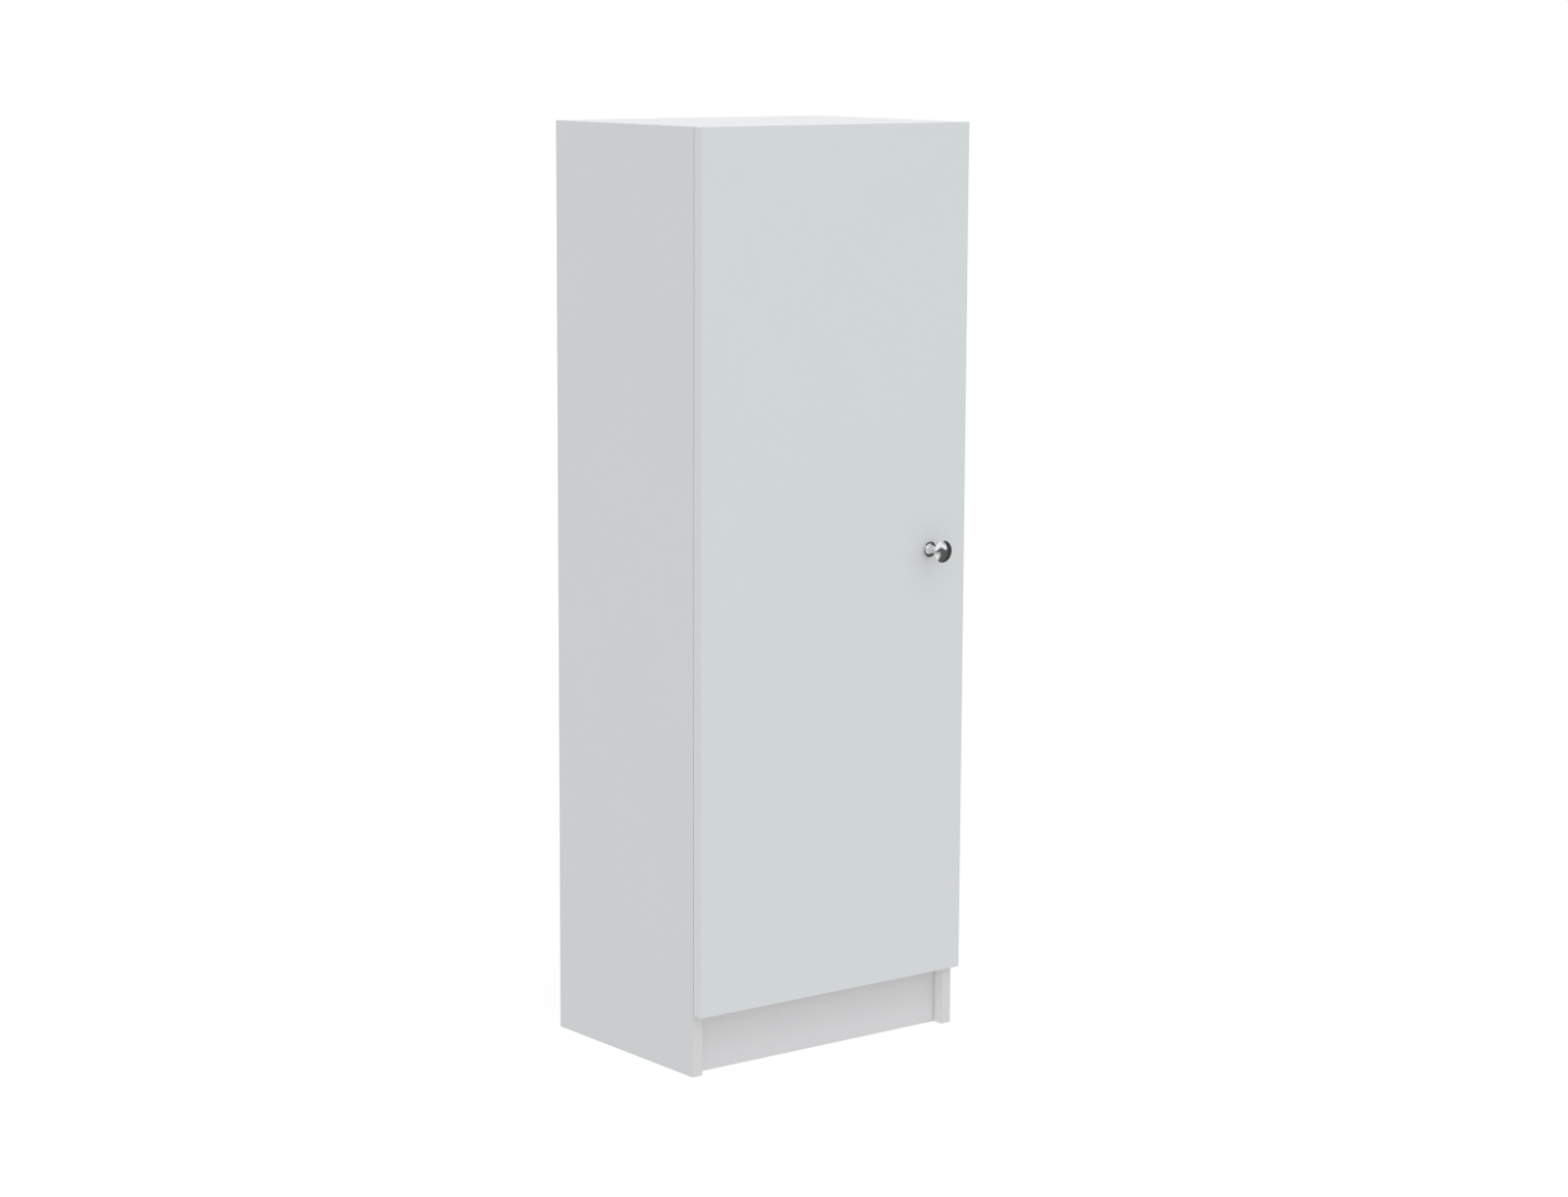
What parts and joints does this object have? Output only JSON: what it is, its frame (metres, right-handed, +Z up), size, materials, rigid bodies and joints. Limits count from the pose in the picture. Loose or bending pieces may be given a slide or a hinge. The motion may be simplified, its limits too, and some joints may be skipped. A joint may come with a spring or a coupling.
{
  "type": "broom cupboard",
  "caption": "Tall narrow free-standing cupboard with a full-overlay slab door on concealed hinges, a recessed plinth and a turned metal knob.",
  "frame": {"origin": "on the floor, in the middle of the outline with the door and knob included", "axes": "+X to the right of somebody facing the door, +Y from the door to the back, +Z up"},
  "size_m": [0.45, 0.365, 1.255],
  "materials": {
    "melamine_board": "satin white melamine face on particle board",
    "edge_banding": "satin",
    "hardboard": "white-lacquered face, brown pressed-fibre rear",
    "beech": "fluted, raw",
    "zinc_casting": "as cast",
    "plated_steel": "zinc plated",
    "nickel_plated_steel": "nickel plated",
    "chrome": "polished",
    "clear_rubber": "translucent"
  },
  "bodies": {
    "carcass": {"back_panel": "hardboard", "back_panel_nails": "plated_steel", "bottom_panel": "melamine_board", "cam_bolts": "plated_steel", "cam_locks": "zinc_casting", "carcass_dowels": "beech", "edge_band_bottom_panel": "edge_banding", "edge_band_shelf": "edge_banding", "edge_band_side_left": "edge_banding", "edge_band_side_right": "edge_banding", "edge_band_top_panel": "edge_banding", "hinge_adjusting_screws": "nickel_plated_steel", "hinge_arm_lower": "nickel_plated_steel", "hinge_arm_middle": "nickel_plated_steel", "hinge_arm_pins": "nickel_plated_steel", "hinge_arm_screws": "nickel_plated_steel", "hinge_arm_upper": "nickel_plated_steel", "hinge_mounting_plate_lower": "nickel_plated_steel", "hinge_mounting_plate_middle": "nickel_plated_steel", "hinge_mounting_plate_upper": "nickel_plated_steel", "mounting_plate_screws": "nickel_plated_steel", "plinth_board": "melamine_board", "plinth_dowels": "beech", "shelf": "melamine_board", "shelf_pins": "nickel_plated_steel", "side_panel_left": "melamine_board", "side_panel_right": "melamine_board", "top_panel": "melamine_board"},
    "outer_links": {"hinge_outer_link_lower": "nickel_plated_steel", "hinge_outer_link_middle": "nickel_plated_steel", "hinge_outer_link_upper": "nickel_plated_steel"},
    "inner_links": {"hinge_inner_link_lower": "nickel_plated_steel", "hinge_inner_link_middle": "nickel_plated_steel", "hinge_inner_link_upper": "nickel_plated_steel"},
    "door": {"door_panel": "melamine_board", "edge_bands_door": "edge_banding", "hinge_cup_lower": "nickel_plated_steel", "hinge_cup_middle": "nickel_plated_steel", "hinge_cup_upper": "nickel_plated_steel", "hinge_cup_pins": "nickel_plated_steel", "hinge_cup_screws": "nickel_plated_steel", "knob": "chrome", "knob_screw": "plated_steel", "door_bumpers": "clear_rubber"}
  },
  "joints": [
    {"name": "outer_link_swing", "type": "hinge", "parent": "carcass", "child": "outer_links", "pos_m": [-0.1921, -0.1166, 0.6695], "axis": [0, 0, 1], "range_deg": [0, 27.49]},
    {"name": "door_swing", "type": "hinge", "parent": "outer_links", "child": "door", "pos_m": [-0.216, -0.1362, 0.6695], "axis": [0, 0, -1], "range_deg": [0, 122.48]},
    {"name": "inner_link_swing", "type": "hinge", "parent": "carcass", "child": "inner_links", "pos_m": [-0.1944, -0.1394, 0.6695], "axis": [0, 0, 1], "range_deg": [0, 35.74]}
  ],
  "couplings": [
    {"joint": "outer_link_swing", "follows": "door_swing", "ratio": 0.22438},
    {"joint": "inner_link_swing", "follows": "door_swing", "ratio": 0.29168}
  ]
}
